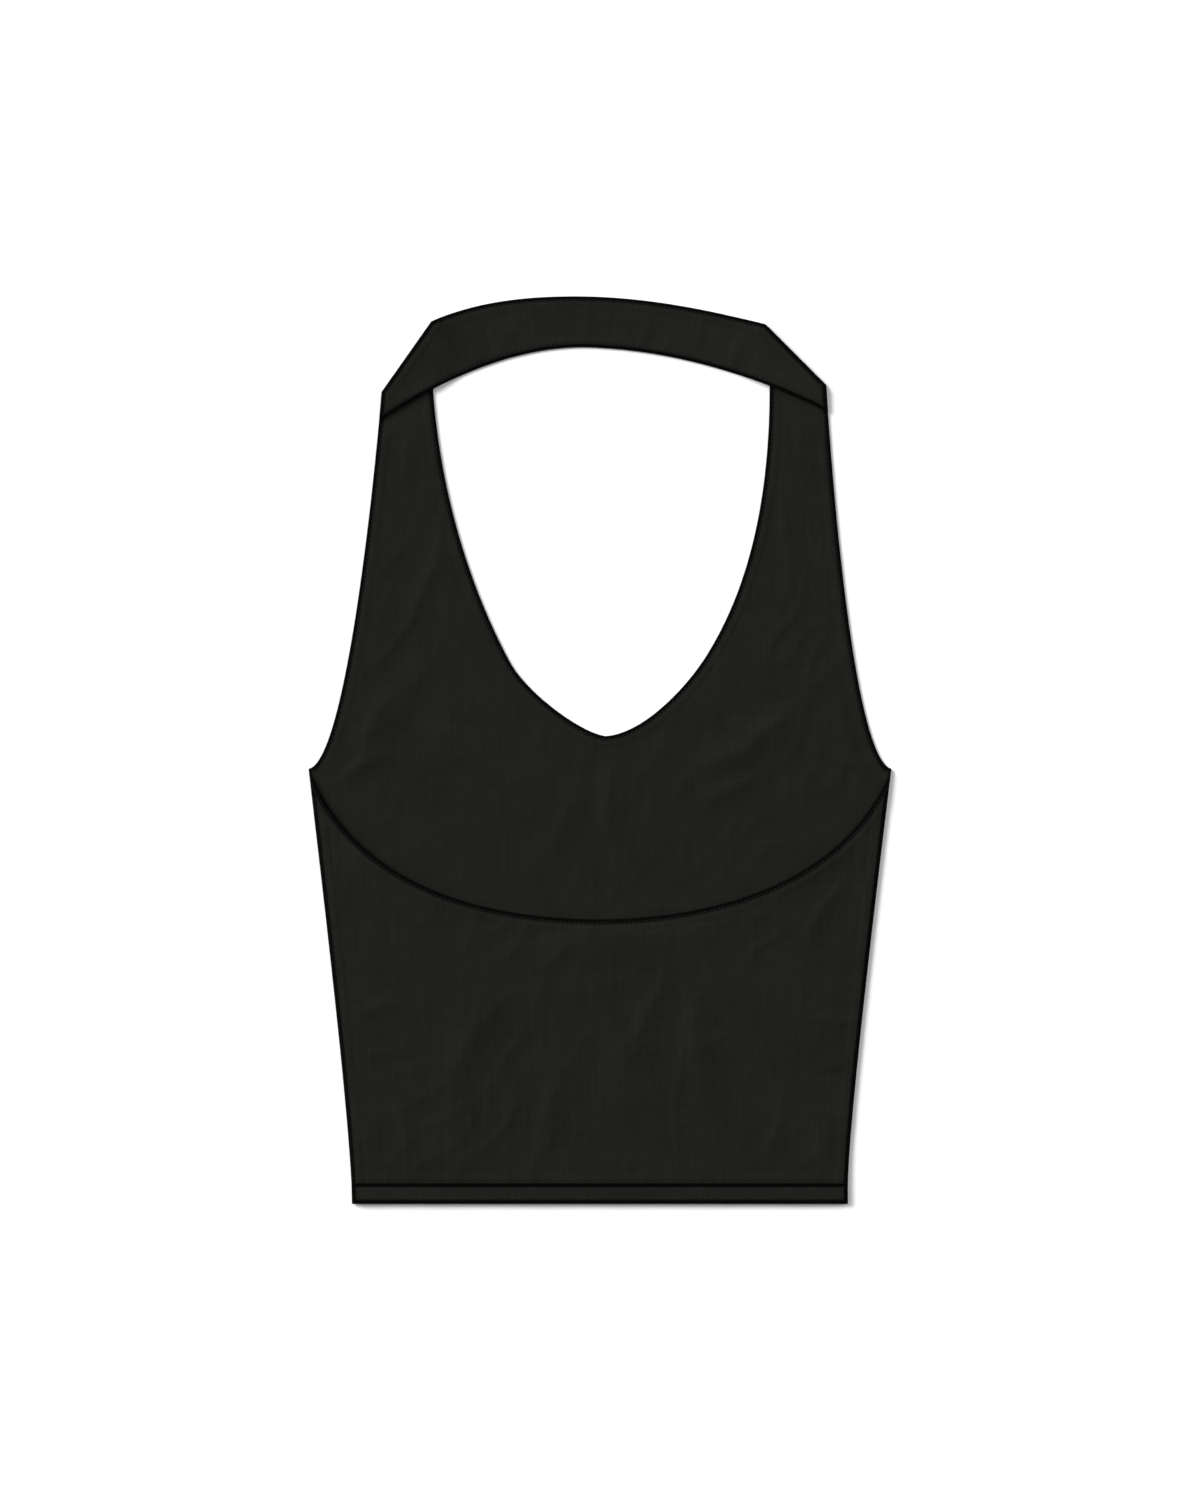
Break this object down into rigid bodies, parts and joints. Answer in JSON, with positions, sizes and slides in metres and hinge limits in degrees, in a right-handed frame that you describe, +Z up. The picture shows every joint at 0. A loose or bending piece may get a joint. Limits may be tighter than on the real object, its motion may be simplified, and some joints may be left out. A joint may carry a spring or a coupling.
{
  "type": "halter neck top",
  "caption": "Cropped halter neck top laid flat, back upwards: V neckline, straps joined by a neck band, low scooped back and narrow hem band.",
  "frame": {"origin": "on the surface the top lies on, under the middle of its overall width and length", "axes": "+Y up the garment from the hem to the neck band, +X across it to the right as seen from above, +Z up from the surface; the garment lies face down with its back upwards"},
  "size_m": [0.3732, 0.581, 0.0048],
  "materials": {
    "panel_jersey": "matte",
    "band_jersey": "matte",
    "hem_jersey": "matte"
  },
  "bodies": {
    "root": {"front_panel": "panel_jersey", "back_panel": "panel_jersey", "neck_band": "band_jersey", "hem_band_front": "hem_jersey", "hem_band_back": "hem_jersey"}
  },
  "joints": []
}
